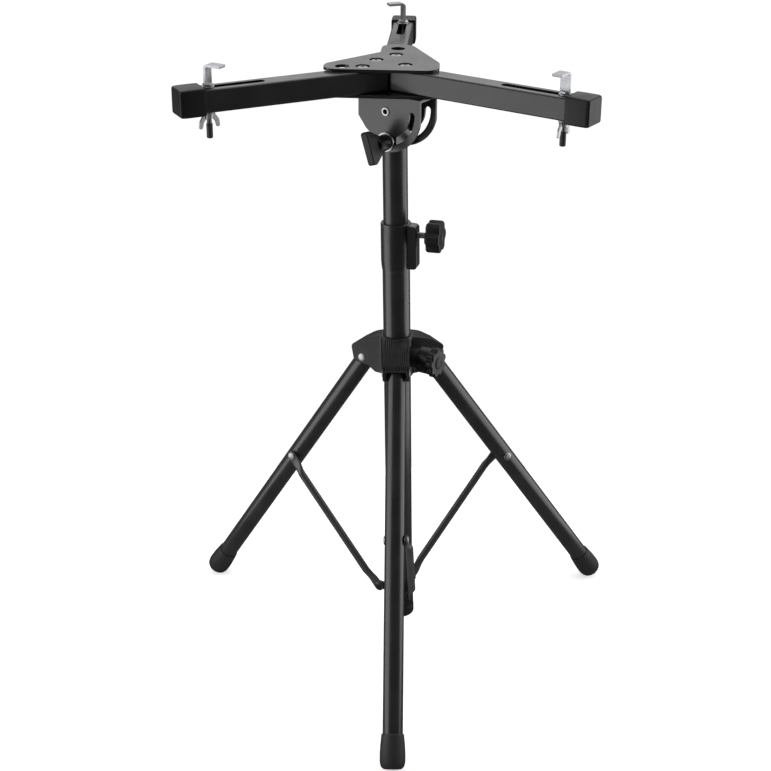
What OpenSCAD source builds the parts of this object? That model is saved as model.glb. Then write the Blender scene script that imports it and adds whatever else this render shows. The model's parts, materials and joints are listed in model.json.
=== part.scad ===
// Folding tripod stand with a telescoping mast and a tilting three-arm cradle.
// The origin is on the mast's axis at floor level, +Z is up, and the front leg points along -Y.
// Lengths are in millimetres and angles in degrees.

/* [Legs] */
// Length of a leg from its hinge to the end of its foot
leg_len = 393; // [340:1:460]
// Angle between an open leg and the mast
leg_spread = 34.4; // [30:0.1:38]
// Outside diameter of a leg tube
leg_d = 20; // [16:0.1:22]
// Wall of a leg tube
leg_wall = 1.2; // [1:0.1:2]
// Distance of the leg hinges from the mast's axis
hinge_r = 35; // [34:0.5:40]
// Length of a rubber foot
foot_len = 34; // [28:1:44]
// Largest diameter of a rubber foot
foot_d = 25.4; // [25:0.1:30]
// Diameter of the leg hinge rivets
hinge_pin_d = 6; // [4:0.5:7]

/* [Braces] */
// Distance from a leg's hinge to its brace rivet, along the leg
brace_at = 170; // [150:1:190]
// Length of a brace between its two pivots
brace_len = 172; // [165:1:190]
// Diameter of the round part of a brace
brace_d = 8; // [6:0.5:9]
// Thickness of the flattened ends of a brace
brace_flat = 2.5; // [2:0.1:3]
// Diameter of the brace rivets
brace_pin_d = 5; // [4:0.5:6]
// Distance of the lower brace pivots from the mast's axis
collar_pivot_r = 20; // [19:0.5:24]

/* [Mast] */
// Outside diameter of the upper mast tube
upper_d = 25; // [22:0.1:27]
// Wall of the upper mast tube
upper_wall = 1.2; // [1:0.1:2]
// Wall of the lower mast tube
lower_wall = 1.2; // [1:0.1:2]
// Length of the upper mast tube
upper_len = 380; // [320:1:420]
// Height of the lower tube's top above the leg hinges
lower_rise = 150; // [130:1:190]
// How far the upper tube stands out of the lower tube
mast_out = 78; // [76:1:140]
// Length of the height clamp's sleeve
sleeve_len = 49; // [40:1:60]
// Wall of the height clamp's sleeve
sleeve_wall = 1.3; // [1:0.1:2]
// Direction of the height knob around the mast
height_knob_az = -14; // [-25:1:0]
// Diameter of the height knob
height_knob_d = 33; // [28:1:36]

/* [Tilt head] */
// Turn of the whole cradle around the mast
head_turn = -1.7; // [-5:0.1:5]
// Tilt of the cradle, with the right arm going down
cradle_tilt = 1.2; // [0:0.1:60]
// Height of the tilt pivot above the upper tube's end
tongue_rise = 38; // [36:1:46]
// Distance from the tilt pivot to the clamp bolt
slot_r = 30; // [29:0.5:31]
// Thickness of the tilt bracket's sheet
bracket_t = 2.5; // [2:0.1:3]
// Gap between the tilt bracket's cheeks
cheek_gap = 26; // [26:0.1:28]
// Diameter of the tilt clamp bolt
clamp_bolt_d = 6; // [5:0.5:6]
// Angle covered by the arc slots of the cheeks
slot_sweep = 92; // [85:1:94]

/* [Cradle] */
// Side of the square arm tube
arm_w = 22; // [20:0.5:25]
// Wall of the arm tube
arm_wall = 1.5; // [1:0.1:2]
// Distance of the cradle's centre behind the tilt pivot, along the right arm
cradle_back = 3.4; // [0:0.1:6]
// Distance from the cradle's centre to the end of an arm's cap
arm_reach = 219.5; // [200:0.5:260]
// Thickness of the two cradle plates
plate_t = 3; // [2:0.1:4]
// Diameter of the round holes in the top plate
plate_hole_d = 14; // [12:0.5:15]
// Length of an end cap
cap_len = 25; // [20:1:30]
// Wall of an end cap
cap_wall = 2.1; // [1.2:0.1:2.5]
// Width of the slots in the arms
slot_w = 8.5; // [7:0.1:9]
// Distance from the cradle's centre to the inner end of the rear arm's slot
slot_in_rear = 134; // [100:1:140]
// Distance from the cradle's centre to the inner end of the right arm's slot
slot_in_right = 122; // [100:1:140]
// Distance from the cradle's centre to the inner end of the left arm's slot
slot_in_left = 132; // [100:1:140]

/* [Hooks] */
// Diameter of a hook's threaded rod
rod_d = 5; // [4:0.5:6]
// Height of a hook above its arm
hook_rise = 22; // [18:1:30]
// Width of a hook's strap
strap_w = 10; // [8:0.5:12]
// Thickness of a hook's strap
strap_t = 2.5; // [2:0.1:3]
// Length of a hook's turned-over tip
tip_len = 18; // [14:1:24]
// Distance from the cradle's centre to a hook
hook_at = 188; // [182:0.5:188]

/* [Fits] */
// Gap around a sliding tube and beside a part that moves past another
slide_gap = 0.3; // [0.3:0.05:0.5]
// Radial clearance of a pin that turns in its hole
pin_gap = 0.06; // [0.04:0.01:0.1]

/* [Hidden] */
$fn = 64;

// Directions around the mast: legs, then arms in the cradle's own frame, then each hook's own turn
FRONT = -90;
RIGHT = 30;
LEFT = 150;
ARM_REAR = 90;
ARM_RIGHT = 330;
ARM_LEFT = 210;
HOOK_TURN_REAR = -67;
HOOK_TURN_RIGHT = 88;
HOOK_TURN_LEFT = -55;
NUT_TURN_REAR = 35;
NUT_TURN_RIGHT = 90;
NUT_TURN_LEFT = 11;

// Colours
BLACK_PAINT = [0.10, 0.10, 0.11];
BLACK_PLASTIC = [0.14, 0.14, 0.15];
BLACK_RUBBER = [0.17, 0.17, 0.17];
ZINC = [0.78, 0.79, 0.81];

// Legs: the foot is round at its end, so the leg's end lies a little above the floor
foot_corner = 5;
foot_flat_r = 7;
foot_end_z = foot_corner + foot_flat_r * sin(leg_spread) - foot_corner * cos(leg_spread);
hinge_z = foot_end_z + leg_len * cos(leg_spread);
leg_top = 9;
foot_seat = 5;
leg_r = leg_d / 2;

// Braces: both pivots lie in a plane beside the leg
brace_side = leg_r + slide_gap;
brace_knee_r = hinge_r + brace_at * sin(leg_spread);
brace_knee_z = hinge_z - brace_at * cos(leg_spread);
brace_lean = asin((brace_knee_r - collar_pivot_r) / brace_len);
collar_z = brace_knee_z - brace_len * cos(brace_lean);
brace_eye_r = 6;
brace_flat_len = 20;
ear_t = 3;

// Mast
lower_bore_r = upper_d / 2 + slide_gap;
lower_r = lower_bore_r + lower_wall;
upper_bore_r = upper_d / 2 - upper_wall;
lower_bottom = collar_z - 28.5;
lower_top = hinge_z + lower_rise;
upper_top = lower_top + mast_out;
upper_bottom = upper_top - upper_len;
tilt_z = upper_top + tongue_rise;
collar_r = lower_r + 1.3;
collar_h = 43.5;
plug_flange_t = 3;
sleeve_r = lower_r + sleeve_wall;
sleeve_bottom = lower_top - sleeve_len;
lug_out = 23;
lug_w = 14;
screw_r = 3.3;
height_screw_z = lower_top - 12;
height_knob_in = lug_out + 10;
height_knob_t = 16.5;

// Hub
hub_r = lower_r + 2.4;
hub_half_w = leg_r + 3.6;
hub_low = hinge_z - 15;
leg_sweep_r = norm([leg_r, leg_top]) + slide_gap;
hub_high = hinge_z + 29;
hub_knob_az = -30;
hub_knob_z = hinge_z + 7;
hub_boss_r = 10;
hub_barrel_r = 13.5;
hub_grip_t = 9.5;
hub_boss_out = 29;
hub_knob_r = 15.4;
hub_knob_t = 22;

// Tilt head, in its own frame: the pivot is the origin, X runs along the right arm, -Y is the knob's side
cheek_y = cheek_gap / 2;
cheek_out = cheek_y + bracket_t;
cheek_left = -32;
cheek_r = slot_r + 10;
block_half = cheek_y - slide_gap;
tongue_r = 10;
base_z = tongue_r + 3.5;
plate_z = base_z + bracket_t;
arm_z = plate_z + plate_t;
top_z = arm_z + arm_w;
rivet_r = 3.5;
rivet_head_r = 4.6;
rivet_head_t = 1.2;
slot_half = clamp_bolt_d / 2 + slide_gap;
washer_t = 1.5;
knob_gap = 0.3;
knob_turn = -17;
tilt_knob_y = cheek_out + slide_gap + washer_t + knob_gap;
wing_knob_len = 30;

// Cradle: places of the bolts and of the two open holes, in the cradle's frame
bolt_r = 4;
spacer_r = 6.5;
bolt_places = [[2, 34.5], [-26.9, -15.5], [13.3, -6.2], [-15.7, 12]];
lobe_places = [[2.4, 58.5], [-46.5, -17.2]];
arm_in_rear = 24;
arm_in_right = 3;
arm_in_left = 10;
tube_corner = 2;
cap_in = arm_reach - cap_len;
slot_out = hook_at + rod_d / 2 + 1;

// Hooks
washer_r = 6;
slide_washer_t = 1.2;
collet_h = 2.2;
nut_top = slide_washer_t + 0.2;
nut_h = 6;
wing_drop = 15;
rod_drop = 15;
sleeve_drop = 26;

// ---- helpers ----

function polar(d, a) = [d * cos(a), d * sin(a)];
function arc(r, a0, a1, n) = [for (i = [0:n]) polar(r, a0 + (a1 - a0) * i / n)];
function unit(v) = v / norm(v);

// The arc that rounds the corner p between a and b, whichever way the outline turns
function corner(a, p, b, r, n) =
    let(u = unit(a - p), v = unit(b - p), half = acos(u * v) / 2, c = p + unit(u + v) * r / sin(half),
        s = p + u * r / tan(half), e = p + v * r / tan(half),
        a0 = atan2(s[1] - c[1], s[0] - c[0]), a1 = atan2(e[1] - c[1], e[0] - c[0]),
        d = a1 - a0, sweep = d > 180 ? d - 360 : (d < -180 ? d + 360 : d))
    [for (i = [0:n]) c + polar(r, a0 + sweep * i / n)];

// An outline with all its corners rounded; each point is [x, y, radius]
function rounded(pts, n = 6) =
    let(m = len(pts))
    [for (i = [0:m - 1])
        let(a = pts[(i + m - 1) % m], p = pts[i], b = pts[(i + 1) % m])
        each corner([a[0], a[1]], [p[0], p[1]], [b[0], b[1]], p[2], n)];

function box_outline(w, h, r) =
    [[-w / 2, -h / 2, r], [w / 2, -h / 2, r], [w / 2, h / 2, r], [-w / 2, h / 2, r]];

module tube(r, bore, h) {
    difference() {
        cylinder(r = r, h = h);
        translate([0, 0, -1]) cylinder(r = bore, h = h + 2);
    }
}

// A cylinder along Y from y0 to y1
module rod_y(r, y0, y1) {
    translate([0, y0, 0]) rotate([-90, 0, 0]) cylinder(r = r, h = y1 - y0);
}

// A flat outline in the X-Z plane, given thickness from y0 to y1
module slab_y(y0, y1) {
    translate([0, y1, 0]) rotate([90, 0, 0]) linear_extrude(height = y1 - y0) children();
}

// Frame of a leg's vertical plane: X points outwards, Z is up
module leg_plane(az) {
    rotate([0, 0, az]) children();
}

// Frame of a leg: the hinge is the origin and Z runs down the leg to the foot
module along_leg(az) {
    leg_plane(az) translate([hinge_r, 0, hinge_z]) rotate([0, 180 - leg_spread, 0]) children();
}

// Frame of a brace: its upper pivot is the origin and Z runs to its lower pivot
module along_brace(az) {
    leg_plane(az) translate([brace_knee_r, 0, brace_knee_z]) rotate([0, 180 + brace_lean, 0]) children();
}

module tilt_frame() {
    translate([0, 0, tilt_z]) rotate([0, 0, head_turn + ARM_RIGHT]) children();
}

// Frame of what tilts, with the same axes as the tilt frame when the cradle is level
module tilted_frame() {
    tilt_frame() rotate([0, cradle_tilt, 0]) children();
}

module cradle_frame() {
    tilted_frame() translate([-cradle_back, 0, 0]) rotate([0, 0, -ARM_RIGHT]) children();
}

// Frame of an arm: X runs outwards along it, and the origin is at the height of its top face
module along_arm(az) {
    cradle_frame() rotate([0, 0, az]) translate([0, 0, top_z]) children();
}

// Frame of a hook: its rod is the Z axis and X points the way its tip turns
module at_hook(az, turn) {
    along_arm(az) translate([hook_at, 0, 0]) rotate([0, 0, 180 + turn]) children();
}

// ---- tripod ----

// Side view of one leg housing of the hub, from the mast outwards
housing_outline = [
    [0, 28, 1], [13, 28, 4], [33, 22, 36], [48.5, 12, 5], [45.3, -5, 2], [27, -8, 4], [19, -13, 4], [0, -13, 1]
];

module hub_housing(az) {
    leg_plane(az) translate([0, 0, hinge_z]) difference() {
        slab_y(-hub_half_w, hub_half_w) polygon(rounded(housing_outline));
        // The room that the leg's end sweeps, open below and outwards
        translate([hinge_r, 0, 0]) rod_y(leg_sweep_r, -leg_r - slide_gap, leg_r + slide_gap);
        translate([hinge_r, 0, 0]) slab_y(-leg_r - slide_gap, leg_r + slide_gap) polygon([
            [-leg_sweep_r, 0], [-leg_sweep_r, -hub_half_w * 2], [hub_half_w * 2, -hub_half_w * 2],
            polar(leg_sweep_r, 20)
        ]);
    }
}

module hub() {
    color(BLACK_PLASTIC) difference() {
        union() {
            translate([0, 0, hub_low]) cylinder(r = hub_r, h = hub_high - hub_low);
            for (az = [FRONT, RIGHT, LEFT]) hub_housing(az);
            rotate([0, 0, hub_knob_az]) translate([0, 0, hub_knob_z]) rotate([0, 90, 0])
                cylinder(r = hub_boss_r, h = hub_boss_out);
        }
        translate([0, 0, hub_low - 1]) cylinder(r = lower_r + pin_gap, h = hub_high - hub_low + 2);
        for (az = [FRONT, RIGHT, LEFT])
            leg_plane(az) translate([hinge_r, 0, hinge_z])
                rod_y(hinge_pin_d / 2, -hub_half_w - 1, hub_half_w + 1);
        rotate([0, 0, hub_knob_az]) translate([0, 0, hub_knob_z]) rotate([0, 90, 0])
            cylinder(r = screw_r + pin_gap, h = hub_boss_out + 1);
    }
}

module leg_hinge_rivets() {
    color(ZINC) for (az = [FRONT, RIGHT, LEFT])
        leg_plane(az) translate([hinge_r, 0, hinge_z]) union() {
            rod_y(hinge_pin_d / 2, -hub_half_w, hub_half_w);
            rod_y(rivet_head_r, hub_half_w, hub_half_w + rivet_head_t);
            rod_y(rivet_head_r, -hub_half_w - rivet_head_t, -hub_half_w);
        }
}

// A clamping screw along X from x0 to x1
module clamp_screw(x0, x1) {
    color(ZINC) translate([x0, 0, 0]) rotate([0, 90, 0]) cylinder(r = screw_r, h = x1 - x0);
}

module hub_screw() {
    rotate([0, 0, hub_knob_az]) translate([0, 0, hub_knob_z])
        clamp_screw(lower_r + slide_gap, hub_boss_out + knob_gap + hub_knob_t - hub_grip_t / 2);
}

// A knob with shallow flutes around its rim; its axis is X, from the origin outwards
module fluted_knob(r, t, flutes, depth) {
    flute_r = r * sin(180 / flutes) * 0.62;
    difference() {
        rotate([0, 90, 0]) rotate_extrude()
            polygon([[0, 0], [r - 2, 0], [r, 2.5], [r, t - 4], [r - 1.5, t - 1.5], [r - 5, t], [0, t]]);
        for (i = [0:flutes - 1])
            rotate([i * 360 / flutes, 0, 0]) translate([-1, 0, r + flute_r - depth]) rotate([0, 90, 0])
                cylinder(r = flute_r, h = t + 2);
        translate([-1, 0, 0]) rotate([0, 90, 0]) cylinder(r = screw_r, h = t / 2 + 1);
    }
}

module hub_knob() {
    barrel = hub_knob_t - hub_grip_t;
    color(BLACK_PLASTIC) rotate([0, 0, hub_knob_az]) translate([hub_boss_out + knob_gap, 0, hub_knob_z]) union() {
        rotate([0, 90, 0]) tube(hub_barrel_r, screw_r, barrel);
        translate([barrel, 0, 0]) fluted_knob(hub_knob_r, hub_grip_t, 9, 2.2);
    }
}

module leg_tube(az) {
    color(BLACK_PAINT) along_leg(az) difference() {
        translate([0, 0, -leg_top]) cylinder(r = leg_r, h = leg_top + leg_len - foot_seat);
        translate([0, 0, -leg_top - 1]) cylinder(r = leg_r - leg_wall, h = leg_top + leg_len - foot_seat + 2);
        rod_y(hinge_pin_d / 2 + pin_gap, -leg_r - 1, leg_r + 1);
        translate([0, 0, brace_at]) rod_y(brace_pin_d / 2, -leg_r - 1, leg_r + 1);
    }
}

module foot(az) {
    r = foot_d / 2;
    color(BLACK_RUBBER) along_leg(az) translate([0, 0, leg_len - foot_len]) rotate_extrude()
        polygon(concat(
            [[0, foot_len], [0, foot_len - foot_seat], [leg_r, foot_len - foot_seat], [leg_r, 0]],
            [[leg_r + 1.2, 0], [r - 0.5, foot_len * 0.3], [r, foot_len * 0.6]],
            [for (p = arc(foot_corner, 0, 90, 8)) [foot_flat_r + p[0], foot_len - foot_corner + p[1]]]
        ));
}

// The rivet that holds a brace to its leg; its heads sit on the brace's eye and on the far side of the tube
module leg_rivet(az) {
    color(ZINC) along_leg(az) translate([0, 0, brace_at]) union() {
        rod_y(brace_pin_d / 2, -leg_r, brace_side + brace_flat + slide_gap);
        rod_y(rivet_head_r, -leg_r - rivet_head_t, -leg_r);
        rod_y(rivet_head_r, brace_side + brace_flat + slide_gap,
              brace_side + brace_flat + slide_gap + rivet_head_t);
    }
}

// A round bar with both ends hammered flat against the leg's side
module brace(az) {
    color(BLACK_PAINT) along_brace(az) difference() {
        union() {
            translate([0, brace_side + brace_d / 2, brace_flat_len - 6])
                cylinder(r = brace_d / 2, h = brace_len - 2 * brace_flat_len + 12);
            slab_y(brace_side, brace_side + brace_flat)
                for (z = [0, brace_len]) translate([0, z]) circle(r = brace_eye_r);
            for (z = [0, brace_len - brace_flat_len])
                translate([-brace_eye_r, brace_side, z]) cube([2 * brace_eye_r, brace_flat, brace_flat_len]);
        }
        for (z = [0, brace_len]) translate([0, 0, z])
            rod_y(brace_pin_d / 2 + (z == 0 ? pin_gap : 0), brace_side - 1, brace_side + brace_flat + 1);
    }
}

// The headed pin in a brace's lower eye
module brace_pin(az) {
    color(BLACK_PAINT) along_brace(az) translate([0, 0, brace_len]) union() {
        rod_y(brace_pin_d / 2, brace_side, brace_side + brace_flat);
        rod_y(rivet_head_r, brace_side + brace_flat, brace_side + brace_flat + rivet_head_t);
    }
}

// ---- mast ----

module lower_tube() {
    color(BLACK_PAINT) difference() {
        translate([0, 0, lower_bottom]) tube(lower_r, lower_bore_r, lower_top - lower_bottom);
        rotate([0, 0, height_knob_az]) translate([0, 0, height_screw_z]) rotate([0, 90, 0])
            cylinder(r = screw_r + pin_gap, h = sleeve_r + 1);
    }
}

// Ring on the mast's foot with one ear beside each brace
module brace_collar() {
    color(BLACK_PLASTIC) difference() {
        union() {
            translate([0, 0, lower_bottom]) cylinder(r = collar_r, h = collar_h);
            for (az = [FRONT, RIGHT, LEFT]) leg_plane(az) translate([0, 0, collar_z]) union() {
                translate([collar_pivot_r, 0, 0]) rod_y(4.5, brace_side - slide_gap - ear_t, brace_side - slide_gap);
                translate([0, brace_side - slide_gap - ear_t, -4.5]) cube([collar_pivot_r, ear_t, 9]);
            }
        }
        translate([0, 0, lower_bottom - 1]) cylinder(r = lower_r, h = collar_h + 2);
        for (az = [FRONT, RIGHT, LEFT]) leg_plane(az) translate([collar_pivot_r, 0, collar_z])
            rod_y(brace_pin_d / 2 + pin_gap, 0, brace_side + 1);
    }
}

module mast_plug() {
    color(BLACK_PLASTIC) translate([0, 0, lower_bottom]) union() {
        translate([0, 0, -plug_flange_t]) cylinder(r = collar_r, h = plug_flange_t);
        cylinder(r = lower_bore_r, h = 12);
    }
}

module clamp_sleeve() {
    color(BLACK_PAINT) difference() {
        union() {
            translate([0, 0, sleeve_bottom]) cylinder(r1 = lower_r + 0.5, r2 = sleeve_r, h = 9);
            translate([0, 0, sleeve_bottom + 9]) cylinder(r = sleeve_r, h = sleeve_len - 9);
            rotate([0, 0, height_knob_az]) slab_y(-lug_w / 2, lug_w / 2) polygon(rounded([
                [0, sleeve_bottom + 2, 1], [lug_out, sleeve_bottom + 2, 3.5],
                [lug_out, lower_top - 2, 4], [0, lower_top - 1, 1]
            ]));
        }
        translate([0, 0, sleeve_bottom - 1]) cylinder(r = lower_r, h = sleeve_len + 2);
        rotate([0, 0, height_knob_az]) translate([0, 0, height_screw_z]) rotate([0, 90, 0])
            cylinder(r = screw_r + pin_gap, h = lug_out + 1);
    }
}

module height_screw() {
    rotate([0, 0, height_knob_az]) translate([0, 0, height_screw_z])
        clamp_screw(upper_d / 2 + slide_gap, height_knob_in + height_knob_t / 2);
}

module height_knob() {
    color(BLACK_PLASTIC) rotate([0, 0, height_knob_az]) translate([height_knob_in, 0, height_screw_z])
        fluted_knob(height_knob_d / 2, height_knob_t, 6, 3.2);
}

// The plastic bush on the lower end of the upper tube, which runs in the lower tube
module guide_bush() {
    color(BLACK_PLASTIC) translate([0, 0, upper_bottom]) difference() {
        union() {
            translate([0, 0, -12]) cylinder(r = lower_bore_r - pin_gap, h = 12 - knob_gap);
            translate([0, 0, -1]) cylinder(r = upper_bore_r - pin_gap, h = 21);
        }
        translate([0, 0, -13]) cylinder(r = 7, h = 35);
    }
}

module upper_tube() {
    color(BLACK_PAINT) translate([0, 0, upper_bottom]) tube(upper_d / 2, upper_bore_r, upper_len);
}

// ---- tilt head ----

module tongue_block() {
    color(BLACK_PAINT) tilt_frame() difference() {
        union() {
            translate([-tongue_r, -block_half, -tongue_rise]) cube([2 * tongue_r, 2 * block_half, tongue_rise]);
            rod_y(tongue_r, -block_half, block_half);
            translate([0, 0, -tongue_rise - 30]) cylinder(r = upper_bore_r, h = 31);
        }
        rod_y(rivet_r + pin_gap, -cheek_out, cheek_out);
        translate([0, 0, -slot_r]) rod_y(clamp_bolt_d / 2, -cheek_out, cheek_out);
    }
}

// Hexagon-headed bolt through the cheeks' slots, with its end in the wing knob
module tilt_bolt() {
    color(ZINC) tilt_frame() translate([0, 0, -slot_r]) union() {
        rod_y(clamp_bolt_d / 2, -tilt_knob_y - 14, cheek_out + slide_gap + washer_t);
        translate([0, cheek_out + slide_gap + washer_t, 0]) rotate([-90, 30, 0]) cylinder(r = 5.8, h = 4, $fn = 6);
    }
}

module tilt_washers() {
    color(ZINC) tilt_frame() translate([0, 0, -slot_r])
        for (side = [-1, 1]) difference() {
            rod_y(side < 0 ? 9.5 : 8, side < 0 ? -cheek_out - slide_gap - washer_t : cheek_out + slide_gap,
                  side < 0 ? -cheek_out - slide_gap : cheek_out + slide_gap + washer_t);
            rod_y(clamp_bolt_d / 2, -tilt_knob_y - 1, tilt_knob_y + 1);
        }
}

// Two-winged knob: a short hub that widens outwards into a flat grip
module tilt_knob() {
    color(BLACK_PLASTIC) tilt_frame() translate([0, -tilt_knob_y, -slot_r]) rotate([0, knob_turn, 0])
        difference() {
            union() {
                rod_y(8, -14, 0);
                translate([-4, 0, 0]) rotate([90, 0, 90]) linear_extrude(height = 8) polygon(rounded([
                    [-1, -6.8, 1], [-9, -7.6, 5], [-25, -16.6, 4], [-wing_knob_len, -16, 3],
                    [-wing_knob_len, 16, 3], [-25, 16.6, 4], [-9, 7.6, 5], [-1, 6.8, 1]
                ]));
            }
            rod_y(clamp_bolt_d / 2 + pin_gap, -14.5, 1);
        }
}

cheek_outline = concat(
    [[cheek_left, base_z], [cheek_left, -8], [-22.8, -19.8], [-12, -28], [-9.5, -35]],
    arc(cheek_r, -102, -12, 24),
    [[cheek_r * cos(12), base_z]]
);

// Arc slot in both cheeks, round at its two ends
slot_outline = concat(
    arc(slot_r + slot_half, -slot_sweep, 0, 28),
    [for (p = arc(slot_half, 20, 160, 7)) [slot_r + p[0], p[1]]],
    arc(slot_r - slot_half, 0, -slot_sweep, 28),
    [for (p = arc(slot_half, 200 - slot_sweep, 340 - slot_sweep, 7)) polar(slot_r, -slot_sweep) + p]
);

module tilt_bracket() {
    color(BLACK_PAINT) tilted_frame() difference() {
        union() {
            slab_y(-cheek_out, -cheek_y) polygon(cheek_outline);
            slab_y(cheek_y, cheek_out) polygon(cheek_outline);
            translate([cheek_left, -cheek_out, base_z])
                cube([cheek_r * cos(12) - cheek_left, 2 * cheek_out, bracket_t]);
        }
        rod_y(rivet_r, -cheek_out - 1, cheek_out + 1);
        slab_y(-cheek_out - 1, cheek_out + 1) polygon(slot_outline);
    }
}

// Hollow rivet that is the tilt pivot
module pivot_rivet() {
    color(ZINC) tilted_frame() difference() {
        union() {
            rod_y(rivet_r, -cheek_out, cheek_out);
            rod_y(rivet_head_r, -cheek_out - rivet_head_t, -cheek_out);
            rod_y(rivet_head_r, cheek_out, cheek_out + rivet_head_t);
        }
        rod_y(2, -cheek_out - 3, cheek_out + 3);
    }
}

// ---- cradle ----

// Outline shared by both plates, in the cradle's frame
plate_outline = [
    [-67, -29, 13], [46.5, -29, 14], [46, 3, 16], [15.5, 76, 12], [-14, 76, 12], [-14, 43, 5], [-63, -6, 12]
];

module plate_blank(z) {
    translate([0, 0, z]) linear_extrude(height = plate_t) polygon(rounded(plate_outline));
}

module bottom_plate() {
    color(BLACK_PAINT) cradle_frame() difference() {
        plate_blank(plate_z);
        for (p = bolt_places) translate(concat(p, plate_z - 1)) cylinder(r = bolt_r, h = plate_t + 2);
    }
}

module top_plate() {
    color(BLACK_PAINT) cradle_frame() difference() {
        plate_blank(top_z);
        for (p = concat(bolt_places, lobe_places))
            translate(concat(p, top_z - 1)) cylinder(d = plate_hole_d, h = plate_t + 2);
    }
}

// Round spacer that holds the plates apart where no arm lies between them
module plate_spacer() {
    color(BLACK_PAINT) cradle_frame() translate(concat(bolt_places[3], arm_z)) tube(spacer_r, bolt_r, arm_w);
}

// Domed bolts in the holes of the top plate; each one is spun from its own half outline
module plate_bolts() {
    head_r = plate_hole_d / 2 - 1;
    dome = 2.6;
    dome_r = (head_r * head_r + dome * dome) / (2 * dome);
    dome_a = asin(head_r / dome_r);
    color(ZINC) cradle_frame() for (p = bolt_places)
        translate(concat(p, 0)) rotate_extrude() polygon(concat(
            [[0, plate_z], [bolt_r, plate_z], [bolt_r, top_z], [head_r, top_z]],
            [for (q = arc(dome_r, 90 - dome_a, 90, 8)) [q[0], top_z + dome - dome_r + q[1]]]
        ));
}

// A slotted square tube; x0 is its inner end
module arm(az, x0, slot_in) {
    bore = arm_w - 2 * arm_wall;
    color(BLACK_PAINT) along_arm(az) difference() {
        translate([x0, 0, -arm_w / 2]) rotate([90, 0, 90]) linear_extrude(height = arm_reach - cap_wall - x0)
            polygon(rounded(box_outline(arm_w, arm_w, tube_corner)));
        translate([x0 - 1, -bore / 2, -arm_w + arm_wall]) cube([arm_reach, bore, bore]);
        for (x = [slot_in + slot_w / 2, slot_out - slot_w / 2])
            translate([x, 0, -arm_w - 1]) cylinder(d = slot_w, h = arm_w + 2);
        translate([slot_in + slot_w / 2, -slot_w / 2, -arm_w - 1])
            cube([slot_out - slot_in - slot_w, slot_w, arm_w + 2]);
        for (p = bolt_places) rotate([0, 0, -az]) translate(concat(p, -arm_w - 1)) cylinder(r = bolt_r, h = arm_w + 2);
    }
}

module end_cap(az) {
    w = arm_w + 2 * cap_wall;
    color(BLACK_PLASTIC) along_arm(az) difference() {
        translate([cap_in, 0, -arm_w / 2]) rotate([90, 0, 90]) linear_extrude(height = cap_len)
            polygon(rounded(box_outline(w, w, tube_corner + 0.6)));
        translate([cap_in - 1, 0, -arm_w / 2]) rotate([90, 0, 90])
            linear_extrude(height = cap_len - cap_wall + 1)
                polygon(rounded(box_outline(arm_w, arm_w, tube_corner)));
    }
}

// ---- hooks ----

// The washers that slide with a hook, above and below its arm
module slide_washers(az) {
    color(ZINC) along_arm(az) translate([hook_at, 0, 0])
        for (z = [0, -arm_w - slide_washer_t]) translate([0, 0, z])
            tube(washer_r, rod_d / 2 + pin_gap, slide_washer_t);
}

// A strap with a turned-over tip on a threaded rod
module hook(az, turn) {
    out = strap_t / 2;
    low = slide_washer_t + knob_gap;
    color(ZINC) at_hook(az, turn) union() {
        translate([0, 0, -arm_w - rod_drop]) cylinder(r = rod_d / 2, h = arm_w + rod_drop + low + 1);
        translate([0, 0, low]) cylinder(r = washer_r - 1, h = collet_h);
        slab_y(-strap_w / 2, strap_w / 2) polygon([
            [-out, low + collet_h - 1], [out, low + collet_h - 1],
            [out, hook_rise - strap_t - 2], [out + 0.6, hook_rise - strap_t - 0.6], [out + 2, hook_rise - strap_t],
            [tip_len - out, hook_rise - strap_t], [tip_len - out, hook_rise],
            [out + 1, hook_rise], [-out + 1.3, hook_rise - 1.2], [-out, hook_rise - strap_t - 1]
        ]);
    }
}

module rod_sleeve(az) {
    color(BLACK_RUBBER) along_arm(az) translate([hook_at, 0, -arm_w - sleeve_drop]) difference() {
        cylinder(r = rod_d / 2 + 0.5, h = sleeve_drop - rod_drop + 3);
        translate([0, 0, sleeve_drop - rod_drop]) cylinder(r = rod_d / 2, h = 4);
    }
}

// Wing nut below the arm, its wings hanging down on both sides of the rod
module wing_nut(az, turn) {
    color(ZINC) along_arm(az) translate([hook_at, 0, -arm_w - nut_top]) rotate([0, 0, turn]) difference() {
        union() {
            translate([0, 0, -nut_h]) cylinder(r1 = 4, r2 = 5.2, h = nut_h);
            for (side = [0, 180]) rotate([0, 0, side]) slab_y(-1, 1) polygon(rounded([
                [3, -1, 0.4], [6, -1.5, 1], [10.5, -8, 2], [11.5, -wing_drop, 2], [7.5, -wing_drop, 2],
                [6, -9, 1], [3, -nut_h, 0.4]
            ], 4));
        }
        translate([0, 0, -wing_drop - 1]) cylinder(r = rod_d / 2 + pin_gap, h = wing_drop + 2);
    }
}

hub();
leg_hinge_rivets();
hub_screw();
hub_knob();
leg_tube(FRONT);  // leg_tube_front
leg_tube(RIGHT);  // leg_tube_right
leg_tube(LEFT);  // leg_tube_left
foot(FRONT);  // foot_front
foot(RIGHT);  // foot_right
foot(LEFT);  // foot_left
leg_rivet(FRONT);  // leg_rivet_front
leg_rivet(RIGHT);  // leg_rivet_right
leg_rivet(LEFT);  // leg_rivet_left
brace(FRONT);  // brace_front
brace(RIGHT);  // brace_right
brace(LEFT);  // brace_left
brace_pin(FRONT);  // brace_pin_front
brace_pin(RIGHT);  // brace_pin_right
brace_pin(LEFT);  // brace_pin_left
lower_tube();
brace_collar();
mast_plug();
clamp_sleeve();
height_screw();
height_knob();
guide_bush();
upper_tube();
tongue_block();
tilt_bolt();
tilt_washers();
tilt_knob();
tilt_bracket();
pivot_rivet();
bottom_plate();
top_plate();
plate_spacer();
plate_bolts();
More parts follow.
